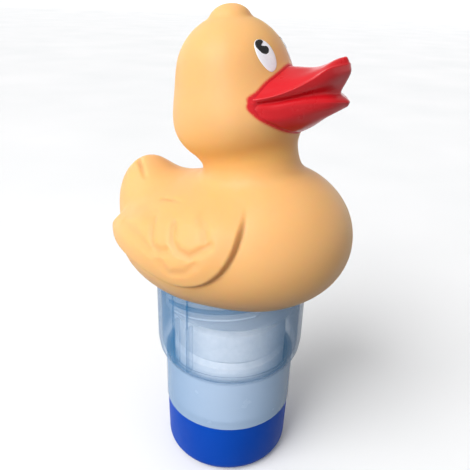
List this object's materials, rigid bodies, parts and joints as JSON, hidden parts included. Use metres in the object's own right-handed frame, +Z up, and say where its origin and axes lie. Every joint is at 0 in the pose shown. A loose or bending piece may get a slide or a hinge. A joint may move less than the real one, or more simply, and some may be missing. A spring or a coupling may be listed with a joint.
{
  "type": "floating chlorine dispenser",
  "caption": "Hollow duck-shaped float that screws onto a translucent tablet canister with a rotary slotted flow cap.",
  "frame": {"origin": "centre of the flow cap's flat resting face, on the canister's axis", "axes": "+Z up along the canister's axis, +X the way the duck faces, +Y to the duck's left"},
  "size_m": [0.1504, 0.1306, 0.297],
  "materials": {
    "cap_blue": "satin moulded blue plastic",
    "canister_clear": "translucent blue-tinted moulded plastic",
    "white_plastic": "satin white plastic",
    "steel": "stainless steel",
    "seal_rubber": "soft pale grey rubber",
    "tablet_white": "pressed chalky tablet",
    "duck_vinyl": "soft satin vinyl",
    "bill_red": "gloss painted vinyl",
    "eye_white": "gloss white paint",
    "eye_black": "gloss black paint"
  },
  "bodies": {
    "canister": {"canister": "canister_clear", "cap_o_ring": "seal_rubber", "tablet_1": "tablet_white", "tablet_2": "tablet_white", "tablet_3": "tablet_white", "tablet_4": "tablet_white"},
    "flow_cap": {"flow_cap": "cap_blue", "pivot_washer": "white_plastic", "pivot_clip": "steel"},
    "rim_seal": {"rim_seal": "seal_rubber"},
    "float": {"duck_shell": "duck_vinyl", "belly_pocket": "duck_vinyl", "bill": "bill_red", "right_eye_white": "eye_white", "left_eye_white": "eye_white", "right_pupil": "eye_black", "left_pupil": "eye_black", "belly_socket": "canister_clear", "belly_gasket": "seal_rubber", "clamp_ring": "white_plastic", "clamp_screws": "steel", "air_plug": "white_plastic"}
  },
  "joints": [
    {"name": "float_lift", "type": "slide", "parent": "canister", "child": "rim_seal", "axis": [0, 0, 1], "range_m": [0, 0.0545]},
    {"name": "float_unscrew", "type": "hinge", "parent": "rim_seal", "child": "float", "pos_m": [0, 0, 0.146], "axis": [0, 0, 1], "range_deg": [0, 540]},
    {"name": "flow_setting", "type": "hinge", "parent": "canister", "child": "flow_cap", "pos_m": [0, 0, 0], "axis": [0, 0, 1], "range_deg": [0, 45]}
  ],
  "couplings": [
    {"joint": "float_lift", "follows": "float_unscrew", "m_per_rad": 0.0057296}
  ]
}
